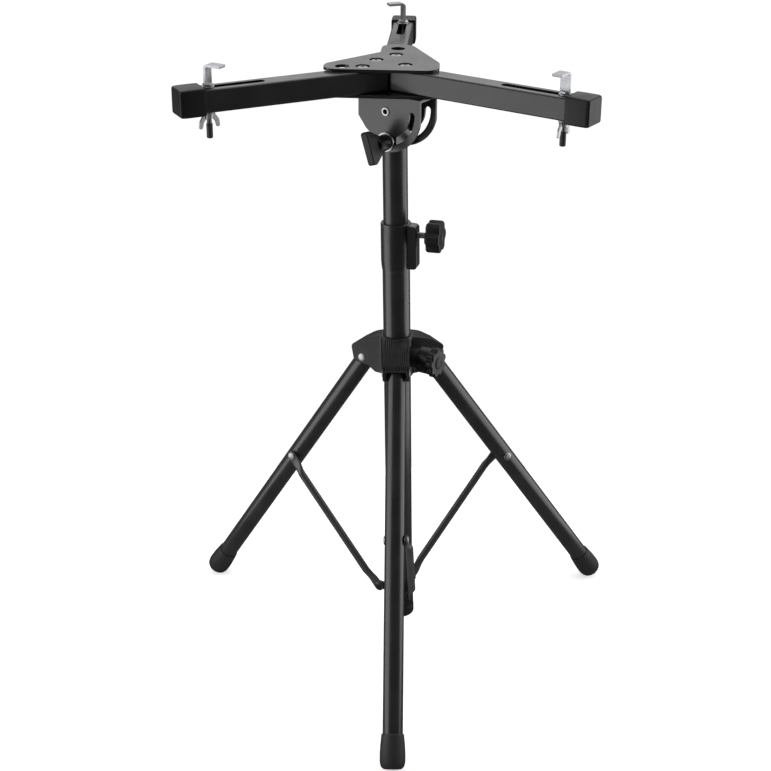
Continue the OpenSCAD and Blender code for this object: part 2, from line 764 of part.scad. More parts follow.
arm(ARM_REAR, arm_in_rear, slot_in_rear);  // arm_rear
arm(ARM_RIGHT, arm_in_right, slot_in_right);  // arm_right
arm(ARM_LEFT, arm_in_left, slot_in_left);  // arm_left
end_cap(ARM_REAR);  // end_cap_rear
end_cap(ARM_RIGHT);  // end_cap_right
end_cap(ARM_LEFT);  // end_cap_left
slide_washers(ARM_REAR);  // slide_washers_rear
slide_washers(ARM_RIGHT);  // slide_washers_right
slide_washers(ARM_LEFT);  // slide_washers_left
hook(ARM_REAR, HOOK_TURN_REAR);  // hook_rear
hook(ARM_RIGHT, HOOK_TURN_RIGHT);  // hook_right
hook(ARM_LEFT, HOOK_TURN_LEFT);  // hook_left
rod_sleeve(ARM_REAR);  // rod_sleeve_rear
rod_sleeve(ARM_RIGHT);  // rod_sleeve_right
rod_sleeve(ARM_LEFT);  // rod_sleeve_left
wing_nut(ARM_REAR, NUT_TURN_REAR);  // wing_nut_rear
wing_nut(ARM_RIGHT, NUT_TURN_RIGHT);  // wing_nut_right
wing_nut(ARM_LEFT, NUT_TURN_LEFT);  // wing_nut_left
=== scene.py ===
# %% [markdown]
# # A folding tripod stand with a telescoping mast and a tilting cradle
# The stand is made of black painted tube, black moulded plastic and bright zinc-plated fastenings. The packed
# CAD model is the frame: it gives every place, and every new piece rides on one of its bodies. The work goes
# from the ground up: helpers, finishes, legs, hub, mast, tilt head, cradle, hooks, then the studio.

# %% Load the frame
import json
import math
import bpy
from mathutils import Matrix, Vector


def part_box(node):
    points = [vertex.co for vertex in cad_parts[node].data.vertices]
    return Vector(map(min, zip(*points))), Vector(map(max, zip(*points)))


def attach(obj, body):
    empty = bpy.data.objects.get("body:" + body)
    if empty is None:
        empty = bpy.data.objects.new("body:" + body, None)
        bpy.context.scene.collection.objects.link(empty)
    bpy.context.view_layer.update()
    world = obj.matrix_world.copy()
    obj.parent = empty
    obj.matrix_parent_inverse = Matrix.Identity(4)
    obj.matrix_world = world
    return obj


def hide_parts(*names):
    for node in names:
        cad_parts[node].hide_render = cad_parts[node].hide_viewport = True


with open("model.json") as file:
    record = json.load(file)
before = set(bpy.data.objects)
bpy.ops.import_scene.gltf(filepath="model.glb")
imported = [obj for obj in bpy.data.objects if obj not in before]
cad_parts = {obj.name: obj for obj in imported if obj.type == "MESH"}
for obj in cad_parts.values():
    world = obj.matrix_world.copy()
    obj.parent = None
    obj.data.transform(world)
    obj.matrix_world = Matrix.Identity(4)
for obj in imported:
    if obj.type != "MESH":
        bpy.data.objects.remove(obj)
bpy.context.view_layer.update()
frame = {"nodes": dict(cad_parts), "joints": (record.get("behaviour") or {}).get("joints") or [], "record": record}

JOINTS = {j["name"]: j for j in frame["joints"]}

# %% [markdown]
# Places come from the joints, because a joint sits exactly on a real pin. The hinge of the front leg gives
# the hinge circle and height, its brace rivet gives the leg's lean, and the tilt joint gives the height of
# the head. Sizes are written in millimetres, as on a workshop drawing, and MM turns them into metres.

# %% Read the main places
MM = 0.001


def joint_at(name):
    return Vector(JOINTS[name]["pos_m"])


HINGE_R = -joint_at("leg_front_fold").y
HINGE_Z = joint_at("leg_front_fold").z
KNEE_R = -joint_at("brace_front_turn").y
KNEE_Z = joint_at("brace_front_turn").z
BRACE_AT = math.hypot(KNEE_R - HINGE_R, HINGE_Z - KNEE_Z)
SPREAD = math.atan2(KNEE_R - HINGE_R, HINGE_Z - KNEE_Z)
BRACE_LEN = 172 * MM
LEAN = math.asin((KNEE_R - 20 * MM) / BRACE_LEN)
TILT_Z = joint_at("cradle_tilt").z
TILT_AXIS = Vector(JOINTS["cradle_tilt"]["axis"])
TURN = math.atan2(-TILT_AXIS.x, TILT_AXIS.y)
HEAD_LEAN = 1.2
HEAD_BACK = 3.4 * MM
HOOK_AT = 188 * MM
HEIGHT_KNOB_AZ = -14
HUB_KNOB_AZ = -30
CLAMP_BOLT_DROP = 30 * MM
LOW_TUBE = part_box("lower_tube")
UP_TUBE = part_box("upper_tube")
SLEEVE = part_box("clamp_sleeve")
LEGS = {"front": -90, "right": 30, "left": 150}
ARMS = {"rear": 120, "right": 0, "left": -120}
print("leg lean", round(math.degrees(SPREAD), 2), "tilt pivot at", round(TILT_Z / MM, 1), "mm")


def turn(degrees, axis="Z"):
    return Matrix.Rotation(math.radians(degrees), 4, axis)


def move(x, y, z):
    return Matrix.Translation((x, y, z))


def leg_frame(az):
    return turn(az) @ move(HINGE_R, 0, HINGE_Z) @ Matrix.Rotation(math.pi - SPREAD, 4, "Y")


def brace_frame(az):
    return turn(az) @ move(KNEE_R, 0, KNEE_Z) @ Matrix.Rotation(math.pi + LEAN, 4, "Y")


TILT = move(0, 0, TILT_Z) @ Matrix.Rotation(TURN, 4, "Z")
HEAD = TILT @ turn(HEAD_LEAN, "Y")
CRADLE = HEAD @ move(-HEAD_BACK, 0, 0) @ turn(30)


def arm_frame(az):
    return CRADLE @ turn(az - 30) @ move(0, 0, 41 * MM)


# %% [markdown]
# Most parts here are made in one of two ways: turned on a lathe, or cut from flat sheet. So two helpers do
# most of the work. The first starts from a circle and extrudes it from ring to ring. The second starts from a
# filled circle with as many corners as the outline, puts each corner in its place and extrudes the face to
# its thickness.

# %% Lathe and sheet helpers
def start_clean():
    if bpy.context.object and bpy.context.object.mode != "OBJECT":
        bpy.ops.object.mode_set(mode="OBJECT")
    bpy.ops.object.select_all(action="DESELECT")


def close_up(loop=False):
    bpy.ops.mesh.select_all(action="SELECT")
    bpy.ops.mesh.remove_doubles(threshold=1e-6)
    if not loop:
        bpy.ops.mesh.select_all(action="SELECT")
        bpy.ops.mesh.fill_holes(sides=0)
    bpy.ops.mesh.select_all(action="SELECT")
    bpy.ops.mesh.normals_make_consistent(inside=False)
    bpy.ops.object.mode_set(mode="OBJECT")


def rings(name, rows, count=48, loop=False):
    """Rows are (height, half width along X, half width along Y, shift along Y) in mm."""
    start_clean()
    z, a, b, s = rows[0]
    bpy.ops.mesh.primitive_circle_add(vertices=count, radius=a * MM, location=(0, 0, 0))
    o = bpy.context.object
    o.name = name
    bpy.ops.object.mode_set(mode="EDIT")
    bpy.ops.transform.resize(value=(1, b / a, 1), center_override=(0, 0, 0))
    bpy.ops.transform.translate(value=(0, s * MM, z * MM))
    for z1, a1, b1, s1 in rows[1:]:
        step = (0, (s1 - s) * MM, (z1 - z) * MM)
        bpy.ops.mesh.extrude_region_move(TRANSFORM_OT_translate={"value": step})
        bpy.ops.transform.resize(value=(a1 / a, b1 / b, 1), center_override=(0, s1 * MM, z1 * MM))
        z, a, b, s = z1, a1, b1, s1
    close_up(loop)
    return o


def lathe(name, profile, count=48, loop=False):
    """Profile is a list of (radius, height) in mm; a loop ends where it starts, as in a tube's wall."""
    return rings(name, [(z, r, r, 0) for r, z in profile], count, loop)


def sheet_part(name, outline, low, high):
    """Outline is (x, y) in mm; the piece fills the height from low to high."""
    start_clean()
    bpy.ops.mesh.primitive_circle_add(vertices=len(outline), radius=1, fill_type="NGON", location=(0, 0, 0))
    o = bpy.context.object
    o.name = name
    for v, (x, y) in zip(o.data.vertices, outline):
        v.co = (x * MM, y * MM, low * MM)
    bpy.ops.object.mode_set(mode="EDIT")
    bpy.ops.mesh.select_all(action="SELECT")
    bpy.ops.mesh.extrude_region_move(TRANSFORM_OT_translate={"value": (0, 0, (high - low) * MM)})
    close_up()
    return o


# %% [markdown]
# Outlines need round corners, and every real edge is broken a little, so the next helpers round an outline's
# corners, cut or join two pieces with a Boolean modifier, and break the sharp edges with a Bevel modifier.
# Each modifier is applied at once. Then a piece is put in its place, its mesh is moved and not its object,
# and it is shaded smooth up to 35 degrees so that only true edges stay crisp.

# %% Shaping helpers
def polar(d, a):
    return (d * math.cos(math.radians(a)), d * math.sin(math.radians(a)))


def arc(cx, cy, r, a0, a1, n):
    return [(cx + polar(r, a0 + (a1 - a0) * i / n)[0], cy + polar(r, a0 + (a1 - a0) * i / n)[1])
            for i in range(n + 1)]


def rounded(points, n=8):
    """Points are (x, y, corner radius)."""
    out = []
    for i, (x, y, r) in enumerate(points):
        p = Vector((x, y))
        u = (Vector(points[i - 1][:2]) - p).normalized()
        v = (Vector(points[(i + 1) % len(points)][:2]) - p).normalized()
        half = math.acos(max(-1, min(1, u.dot(v)))) / 2
        c = p + (u + v).normalized() * r / math.sin(half)
        s, e = p + u * r / math.tan(half) - c, p + v * r / math.tan(half) - c
        a0, a1 = math.degrees(math.atan2(s.y, s.x)), math.degrees(math.atan2(e.y, e.x))
        sweep = (a1 - a0 + 180) % 360 - 180
        out += arc(c.x, c.y, r, a0, a0 + sweep, n)
    return out


def box_outline(w, h, r):
    return rounded([(-w / 2, -h / 2, r), (w / 2, -h / 2, r), (w / 2, h / 2, r), (-w / 2, h / 2, r)], 5)


def put(o, matrix):
    o.data.transform(matrix)
    o.data.update()
    return o


def use(o, kind, **settings):
    start_clean()
    o.select_set(True)
    bpy.context.view_layer.objects.active = o
    m = o.modifiers.new(kind, kind)
    for key, value in settings.items():
        setattr(m, key, value)
    bpy.ops.object.modifier_apply(modifier=m.name)
    return o


def cut(o, tool, how="DIFFERENCE"):
    use(o, "BOOLEAN", object=tool, operation=how, solver="EXACT")
    bpy.data.objects.remove(tool)
    return o


def soften(o, width, steps=2, angle=32):
    return use(o, "BEVEL", width=width * MM, segments=steps, limit_method="ANGLE",
               angle_limit=math.radians(angle),
               use_clamp_overlap=True, loop_slide=True)


def copy_of(o, name):
    c = bpy.data.objects.new(name, o.data.copy())
    bpy.context.scene.collection.objects.link(c)
    return c


ON_SIDE = turn(90, "X")
ALONG_X = turn(90, "Y")
made = []


def finish_piece(o, body, finish, nodes=(), smooth=35):
    """Shades a piece, gives it its finish and its body, and hides the CAD nodes that it stands for."""
    start_clean()
    o.select_set(True)
    bpy.context.view_layer.objects.active = o
    bpy.ops.object.shade_smooth_by_angle(angle=math.radians(smooth))
    use(o, "WEIGHTED_NORMAL", keep_sharp=True)
    o.data.materials.clear()
    o.data.materials.append(FINISHES[finish])
    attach(o, body)
    if nodes:
        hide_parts(*nodes)
    made.append(o.name)
    return o


# %% [markdown]
# # Finishes
# Powder paint on tube has a fine orange-peel skin, a satin gloss and a few dull patches where hands touch it.
# All of this can be made from noise in object coordinates at true scale: about 1 mm for the peel and 30 mm
# for the dull patches. Edges wear first, so the pointiness of the mesh lifts the colour there a little.

# %% A maker of finishes
def finish(name, colour, worn, metal, gloss, grain_mm, depth_mm, patch_mm, coat=0.0, shine=0.5):
    m = bpy.data.materials.new(name)
    m.use_nodes = True
    n, link = m.node_tree.nodes, m.node_tree.links.new
    shader = n["Principled BSDF"]
    shader.inputs["Metallic"].default_value = metal
    shader.inputs["Coat Weight"].default_value = coat
    shader.inputs["Specular IOR Level"].default_value = shine
    shader.inputs["Coat Roughness"].default_value = 0.12
    place = n.new("ShaderNodeTexCoord")
    patch = n.new("ShaderNodeTexNoise")
    patch.inputs["Scale"].default_value = 1000 / patch_mm
    patch.inputs["Detail"].default_value = 5
    link(place.outputs["Object"], patch.inputs["Vector"])
    dull = n.new("ShaderNodeMapRange")
    dull.inputs["From Min"].default_value = 0.3
    dull.inputs["From Max"].default_value = 0.7
    dull.inputs["To Min"].default_value = gloss[0]
    dull.inputs["To Max"].default_value = gloss[1]
    link(patch.outputs["Fac"], dull.inputs["Value"])
    link(dull.outputs["Result"], shader.inputs["Roughness"])
    edge = n.new("ShaderNodeNewGeometry")
    ramp = n.new("ShaderNodeMapRange")
    ramp.inputs["From Min"].default_value = 0.53
    ramp.inputs["From Max"].default_value = 0.62
    link(edge.outputs["Pointiness"], ramp.inputs["Value"])
    rub = n.new("ShaderNodeMath")
    rub.operation = "MULTIPLY"
    link(ramp.outputs["Result"], rub.inputs[0])
    link(patch.outputs["Fac"], rub.inputs[1])
    mix = n.new("ShaderNodeMix")
    mix.data_type = "RGBA"
    mix.inputs["A"].default_value = (*colour, 1)
    mix.inputs["B"].default_value = (*worn, 1)
    link(rub.outputs["Value"], mix.inputs["Factor"])
    link(mix.outputs["Result"], shader.inputs["Base Color"])
    grain = n.new("ShaderNodeTexNoise")
    grain.inputs["Scale"].default_value = 1000 / grain_mm
    grain.inputs["Detail"].default_value = 3
    link(place.outputs["Object"], grain.inputs["Vector"])
    bump = n.new("ShaderNodeBump")
    bump.inputs["Strength"].default_value = 1.0
    bump.inputs["Distance"].default_value = depth_mm * MM
    link(grain.outputs["Fac"], bump.inputs["Height"])
    link(bump.outputs["Normal"], shader.inputs["Normal"])
    return m


# %% [markdown]
# The plastic is duller than the paint and has the even grain of a spark-eroded mould. Rubber is duller still.
# The braces are a greyer, rubbed paint, and zinc plate is a pale metal that is brighter on its handled edges.
# The hub is the same plastic with upright ribs across its front hood: a wave in X at true scale raises the
# bump, and a mask keeps it to the width of the hood.

# %% The finishes
WAVE_BANDS = 20
RIB_PITCH_MM = 2.1
RIB_HALF_WIDTH_MM = 11.5
RIB_HEIGHT_MM = 0.35
FINISHES = {
    "paint": finish("black powder paint", (0.010, 0.010, 0.011), (0.05, 0.05, 0.05), 0, (0.27, 0.36), 1.1,
                    0.0014, 30, 0.2),
    "bar": finish("worn grey paint", (0.042, 0.042, 0.044), (0.12, 0.12, 0.12), 0, (0.3, 0.42), 1.0, 0.002,
                  20, 0.2),
    "plastic": finish("black moulded plastic", (0.008, 0.008, 0.009), (0.04, 0.04, 0.04), 0, (0.34, 0.48),
                      0.45, 0.005, 24, 0.0, 0.28),
    "rubber": finish("black rubber", (0.016, 0.016, 0.016), (0.05, 0.05, 0.048), 0, (0.5, 0.66), 0.6, 0.008,
                     18),
    "zinc": finish("bright zinc plate", (0.4, 0.41, 0.43), (0.62, 0.62, 0.63), 1, (0.36, 0.5), 0.35, 0.0015,
                   7),
}
def add_ribs(material, pitch_mm, half_width_mm, height_mm):
    """Raises upright ribs in the bump, across the middle of the piece only."""
    n, link = material.node_tree.nodes, material.node_tree.links.new
    place, wave, parts = n.new("ShaderNodeTexCoord"), n.new("ShaderNodeTexWave"), n.new("ShaderNodeSeparateXYZ")
    wave.bands_direction = "X"
    wave.inputs["Scale"].default_value = 2 * math.pi / (WAVE_BANDS * pitch_mm * MM)
    link(place.outputs["Object"], wave.inputs["Vector"])
    link(place.outputs["Object"], parts.inputs["Vector"])
    size, inside, height = n.new("ShaderNodeMath"), n.new("ShaderNodeMath"), n.new("ShaderNodeMath")
    size.operation, inside.operation, height.operation = "ABSOLUTE", "LESS_THAN", "MULTIPLY"
    link(parts.outputs["X"], size.inputs[0])
    link(size.outputs["Value"], inside.inputs[0])
    inside.inputs[1].default_value = half_width_mm * MM
    link(inside.outputs["Value"], height.inputs[0])
    link(wave.outputs["Fac"], height.inputs[1])
    ribs, shader = n.new("ShaderNodeBump"), n["Principled BSDF"]
    ribs.inputs["Strength"].default_value = 1.0
    ribs.inputs["Distance"].default_value = height_mm * MM
    link(height.outputs["Value"], ribs.inputs["Height"])
    link(shader.inputs["Normal"].links[0].from_socket, ribs.inputs["Normal"])
    link(ribs.outputs["Normal"], shader.inputs["Normal"])
    return material


ribbed = finish("ribbed black plastic", (0.008, 0.008, 0.009), (0.04, 0.04, 0.04), 0, (0.34, 0.48), 0.45,
                0.005, 24, 0.0, 0.28)
FINISHES["ribbed"] = add_ribs(ribbed, RIB_PITCH_MM, RIB_HALF_WIDTH_MM, RIB_HEIGHT_MM)
for item in frame["record"]["subparts"]:
    node = frame["nodes"][item["node"]]
    node.data.materials.clear()
    node.data.materials.append(FINISHES[item["material_slot"]])
print("finishes", sorted(FINISHES))

# %% [markdown]
# # Legs
# Each leg is a 20 mm tube with a thin wall. A closed wall profile gives the tube its bore, and the cut ends
# have a small chamfer. The rubber foot is blown out over the tube: it starts as a thin lip, swells, and is
# domed at the floor. One leg is turned at the origin and copied three times.

# %% Leg tubes and feet
leg = lathe("leg", [(8.8, -9), (9.6, -9), (10, -8.5), (10, 387.6), (9.6, 388), (8.8, 388), (8.8, -9)], 64,
            True)
foot_profile = [(10.02, 359.4), (10.7, 359.0), (11.2, 359.6), (11.35, 361), (11.7, 365), (12.2, 370),
                (12.55, 376), (12.7, 381)]
foot_profile += [(12.6, 385), (12.3, 387.6), (12.0, 388.4)]
foot_profile += [(7 + 5 * math.cos(t / 8 * math.pi / 2), 388 + 5 * math.sin(t / 8 * math.pi / 2))
                 for t in range(1, 9)]
foot_profile += [(4, 393), (0.5, 393), (0.5, 388.1), (10.02, 388.1), (10.02, 359.4)]
foot = lathe("foot", foot_profile, 64, True)
for side, az in LEGS.items():
    finish_piece(put(copy_of(leg, "leg_" + side), leg_frame(az)), "leg_" + side, "paint",
                 ["leg_tube_" + side])
    finish_piece(put(copy_of(foot, "rubber_foot_" + side), leg_frame(az)), "leg_" + side, "rubber",
                 ["foot_" + side])
bpy.data.objects.remove(leg)
bpy.data.objects.remove(foot)
print("legs and feet", made)

# %% [markdown]
# # Braces
# A brace is an 8 mm bar whose ends were squeezed flat in a press and punched. So it is drawn as a row of
# rings: round in the middle, then wider and thinner towards each end, where the flat lies against the leg.
# The eye at the end is round, which a last few shrinking rings give.

# %% Braces and their rivets
def squeezed_bar():
    flat, mid = 10.3 + 1.25, 10.3 + 4
    eye = [(-6.0, 0.6), (-5.6, 2.2), (-4.8, 3.6), (-3.4, 4.95), (-1.8, 5.72), (0, 6)]
    rows = [(z, w, 1.25, flat) for z, w in eye]
    rows += [(7, 5.9, 1.25, flat), (11, 5.5, 1.5, flat + 0.3), (14, 5.0, 2.1, flat + 0.9),
             (18, 4.4, 3.1, flat + 1.9)]
    rows += [(22, 4.0, 4.0, mid), (60, 4, 4, mid), (86, 4, 4, mid)]
    rows += [(172 - z, a, b, s) for z, a, b, s in reversed(rows[:-1])]
    return rings("brace", rows, 32)


def rivet(name, low, high, head_low, head_high, pin, head):
    """A pin with a domed head at each end, turned along its own axis."""
    dome = [(head, 0.0), (head * 0.97, 0.35), (head * 0.86, 0.75), (head * 0.66, 1.05), (head * 0.4, 1.2),
            (0.3, 1.25)]
    rows = [(r, low - h) for r, h in reversed(dome)] if head_low else [(0.3, low)]
    rows += [(pin, low), (pin, high)]
    rows += [(r, high + h) for r, h in dome] if head_high else [(0.3, high)]
    return lathe(name, rows, 32)


brace = squeezed_bar()
for side, az in LEGS.items():
    body = "brace_arm_" + side
    finish_piece(put(copy_of(brace, "brace_bar_" + side), brace_frame(az)), body, "bar", ["brace_" + side])
    pin = put(rivet("brace_stud_" + side, -12.8, -10.3, True, False, 2.5, 4.6), ON_SIDE)
    finish_piece(put(pin, brace_frame(az) @ move(0, 0, BRACE_LEN)), body, "paint", ["brace_pin_" + side])
    pin = put(rivet("leg_stud_" + side, -13.1, 10.0, True, True, 2.45, 4.6), ON_SIDE)
    finish_piece(put(pin, leg_frame(az) @ move(0, 0, BRACE_AT)), "leg_" + side, "zinc", ["leg_rivet_" + side])
bpy.data.objects.remove(brace)
print("braces done, pieces so far", len(made))

# %% [markdown]
# # Hub
# The hub is one moulding: a sleeve round the mast with a lip on top, and three hoods that cover the leg
# hinges. A hood is easiest from its side view: the outline is extruded to the hood's width and its edges are
# rounded generously, as on a moulding. Three hoods are joined to the turned sleeve, and then the mast's bore
# and the three slots that the legs swing in are cut out.

# %% Hub moulding
# The upright ribs on the hood are in the finish, not in the mesh.
hub = lathe("hub_moulding",
            [(14.4, -15), (16.4, -15), (16.4, 24), (16.9, 25), (17.1, 27), (16.8, 28.5), (16, 29), (14.4, 29),
             (14.4, -15)], 72, True)
hood_side = rounded([(10, 28, 1), (15, 27.6, 4), (33, 22, 36), (48.5, 12, 5), (45.3, -5, 2), (27, -8, 4),
                     (19, -13, 4), (10, -13, 1)], 8)
for az in LEGS.values():
    hood = put(sheet_part("hood", hood_side, -13.6, 13.6), ON_SIDE)
    soften(hood, 2.2, 4, 50)
    cut(hub, put(hood, turn(az)), "UNION")
boss = put(lathe("boss", [(0.5, 10), (10.6, 10), (10.3, 27.6), (9.8, 28.7), (8.6, 29), (0.5, 29)], 40),
           move(0, 0, 7 * MM) @ turn(HUB_KNOB_AZ) @ ALONG_X)
cut(hub, put(boss, Matrix.Identity(4)), "UNION")
cut(hub, lathe("bore", [(0.5, -20), (14.05, -20), (14.05, 40), (0.5, 40)], 72))
sweep_r = math.hypot(10, 9) + 0.3
swing = arc(0, 0, sweep_r, 20, 180, 24) + [(-sweep_r, -30), (34, -30)]
for az in LEGS.values():
    slot = put(sheet_part("swing_room", swing, -10.3, 10.3), ON_SIDE)
    cut(hub, put(slot, turn(az) @ move(35 * MM, 0, 0)))
soften(hub, 0.45, 2, 40)
finish_piece(put(hub, move(0, 0, HINGE_Z)), "hub", "ribbed", ["hub"], 40)
for i, az in enumerate(LEGS.values()):
    pin = put(rivet("hinge_pin_%d" % i, -13.6, 13.6, True, True, 2.95, 4.6), ON_SIDE)
    finish_piece(put(pin, turn(az) @ move(HINGE_R, 0, HINGE_Z)), "hub", "zinc", ["leg_hinge_rivets"])
print("hub has", len(hub.data.polygons), "faces")

# %% [markdown]
# # Knobs
# The two clamp knobs are plastic mouldings on a steel screw. A knob's outline is a circle whose radius rises
# and falls, so one formula gives six deep lobes for the height knob and nine for the hub knob's grip. It is
# extruded along the screw, and its rims are rounded. A small plug covers the screw's head, and the hub knob's
# grip stands on a plain barrel.

# %% Lobed knobs and screws
def lobed_knob(name, radius, depth, lobes, length, plug):
    outline = []
    for i in range(lobes * 12):
        a = 360 * i / (lobes * 12)
        dip = (0.5 + 0.5 * math.cos(math.radians(lobes * a))) ** 2
        outline.append(polar(radius - depth * dip, a))
    knob = sheet_part(name, outline, 0, length)
    soften(knob, 2.4, 4, 60)
    cap = lathe("plug",
                [(0.4, length - 1), (plug, length - 1), (plug, length + 0.4), (plug - 0.8, length + 1.1),
                 (0.4, length + 1.3)], 36)
    cut(knob, cap, "UNION")
    return put(knob, ALONG_X)


place = turn(HEIGHT_KNOB_AZ) @ move(33 * MM, 0, joint_at("height_knob_turn").z)
finish_piece(put(lobed_knob("height_hand_knob", 16.5, 3.0, 6, 15.2, 6), place), "height_clamp", "plastic",
             ["height_knob"], 40)
place = turn(HUB_KNOB_AZ) @ move(29.3 * MM, 0, joint_at("hub_knob_turn").z)
barrel = lathe("barrel", [(0.4, 0), (12.9, 0), (13.5, 0.6), (13.5, 13), (0.4, 13)], 64)
grip = put(lobed_knob("hub_hand_knob", 15.4, 2.2, 9, 8.2, 6.5), move(12.5 * MM, 0, 0))
cut(grip, put(barrel, ALONG_X), "UNION")
finish_piece(put(grip, place), "hub_clamp", "plastic", ["hub_knob"], 40)


def screw(name, low, high, radius, pitch=1.25, count=24):
    """A rod with a rolled thread, made as rings that rise and fall."""
    rows = [(radius - 0.5, low)]
    steps = int((high - low) / pitch)
    for i in range(steps):
        z = low + (i + 0.1) * pitch
        rows += [(radius - 0.45, z), (radius, z + pitch * 0.45)]
    rows += [(radius - 0.5, high)]
    return lathe(name, rows, count)


place = turn(HEIGHT_KNOB_AZ) @ move(0, 0, joint_at("height_knob_turn").z) @ ALONG_X
finish_piece(put(screw("height_screw_thread", 12.8, 38, 3.25), place), "height_clamp", "zinc",
             ["height_screw"])
place = turn(HUB_KNOB_AZ) @ move(0, 0, joint_at("hub_knob_turn").z) @ ALONG_X
finish_piece(put(screw("hub_screw_thread", 14.3, 38, 3.25), place), "hub_clamp", "zinc", ["hub_screw"])

# %% [markdown]
# # Mast
# Two tubes slide in one another. The lower one carries a collar with an ear for each brace, a plug at the
# foot, and a steel sleeve with a lug that the height screw runs through. The sleeve's mouth is rolled in a
# little, and its foot tapers onto the tube.

# %% Mast tubes, collar and sleeve
z0, z1 = LOW_TUBE[0].z / MM, LOW_TUBE[1].z / MM
lower = lathe("mast_lower_tube",
              [(12.8, z0), (13.7, z0), (14, z0 + 0.4), (14, z1 - 0.4), (13.7, z1), (12.8, z1), (12.8, z0)],
              72, True)
finish_piece(lower, "mast", "paint", ["lower_tube"])
u0, u1 = UP_TUBE[0].z / MM, UP_TUBE[1].z / MM
upper = lathe("mast_upper_tube",
              [(11.3, u0), (12.2, u0), (12.5, u0 + 0.4), (12.5, u1 - 0.5), (12.1, u1), (11.3, u1),
               (11.3, u0)], 72, True)
finish_piece(upper, "upper_mast", "paint", ["upper_tube"])
collar = lathe("brace_ring",
               [(14.02, z0), (15.0, z0), (15.3, z0 + 0.5), (15.3, z0 + 7), (14.9, z0 + 7.5), (14.9, z0 + 36),
                (15.3, z0 + 36.5), (15.3, z0 + 42.7), (14.8, z0 + 43.5), (14.02, z0 + 43.5), (14.02, z0)], 64,
               True)
pivot_z = z0 + 28.5
for az in LEGS.values():
    ear = sheet_part("ear",
                     [(13.5, -4.5), (20, -4.5)] + arc(20, 0, 4.5, -80, 80, 12) + [(20, 4.5), (13.5, 4.5)],
                     -10, -7)
    soften(ear, 0.4, 2)
    cut(collar, put(put(ear, ON_SIDE), turn(az) @ move(0, 0, pivot_z * MM)), "UNION")
finish_piece(collar, "mast", "plastic", ["brace_collar"])
plug = lathe("foot_plug",
             [(0.5, z0 + 12), (12.7, z0 + 12), (12.75, z0), (15.3, z0 - 0.05), (15.2, z0 - 1.5),
              (14.2, z0 - 3), (0.5, z0 - 3)], 64)
finish_piece(plug, "mast", "plastic", ["mast_plug"])
s0, s1 = SLEEVE[0].z / MM, SLEEVE[1].z / MM
sleeve = lathe("height_sleeve",
               [(14.02, s0), (14.4, s0), (14.8, s0 + 3), (15.2, s0 + 8), (15.3, s0 + 10), (15.3, s1 - 7),
                (14.95, s1 - 6.4), (14.95, s1 - 5.6), (15.3, s1 - 5), (15.3, s1 - 0.8), (14.8, s1),
                (14.02, s1), (14.02, s0)], 72, True)
lug = put(sheet_part("lug", rounded([(11, s0 + 2, 1), (23, s0 + 2, 3.5), (23, s1 - 2, 4), (11, s1 - 1, 1)]),
                     -7, 7), ON_SIDE)
soften(lug, 0.9, 3, 50)
cut(lug, lathe("core", [(0.5, s0 - 5), (14.1, s0 - 5), (14.1, s1 + 5), (0.5, s1 + 5)], 72))
hole = put(lathe("screw_hole", [(0.5, 5), (3.36, 5), (3.36, 30), (0.5, 30)], 32),
           move(0, 0, joint_at("height_knob_turn").z) @ ALONG_X)
cut(lug, hole)
cut(sleeve, put(lug, turn(HEIGHT_KNOB_AZ)), "UNION")
finish_piece(sleeve, "mast", "paint", ["clamp_sleeve"])
print("mast done, pieces so far", len(made))

# %% [markdown]
# # Tilt head
# The bracket is bent from one sheet: a base and two cheeks with an arc slot. The tongue of the mast stands
# between the cheeks on a hollow rivet, and a bolt with a wing knob clamps it. The cheek's outline is cut from
# sheet, the slot is cut through both cheeks at once, and the edges are broken.

# %% Bracket
cheek = [(-32, 15.9), (-32, -8), (-22.8, -19.8), (-12, -28), (-9.5, -35)] + arc(0, 0, 40, -102, -12,
    40) + [(39.12, 15.9)]
slot = arc(0, 0, 33.3, -92, 0, 40) + arc(30, 0, 3.3, 20, 160, 8) + arc(0, 0, 26.7, 0, -92, 40)
slot += arc(*polar(30, -92), 3.3, 200 - 92, 340 - 92, 8)
bracket = put(sheet_part("tilt_fork", cheek, 13, 15.5), ON_SIDE)
cut(bracket, put(sheet_part("far_cheek", cheek, -15.5, -13), ON_SIDE), "UNION")
section = [(-15.5, 12), (-15.5, 14)] + arc(-13.5, 14, 2, 180, 90, 6) + arc(13.5, 14, 2, 90, 0,
    6) + [(15.5, 12), (13, 12), (13, 13.5), (-13, 13.5), (-13, 12)]
base = put(sheet_part("base", section, -32, 39.12), turn(90, "Z") @ turn(90, "X"))
cut(bracket, base, "UNION")
cut(bracket, put(sheet_part("slot_tool", slot, -20, 20), ON_SIDE))
cut(bracket, put(lathe("pin_hole", [(0.5, -20), (3.55, -20), (3.55, 20), (0.5, 20)], 32), ON_SIDE))
soften(bracket, 0.35, 2, 40)
finish_piece(put(bracket, HEAD), "cradle", "paint", ["tilt_bracket"])

# %% [markdown]
# The rivet is a tube whose ends were rolled over, so its profile is a closed loop with a round lip at each
# end. The bolt has a hexagonal head: a lathe with six corners makes it. The wing knob is a flat grip that
# flares from a round hub, so it is cut from thick sheet and given large roundings before it joins the hub.

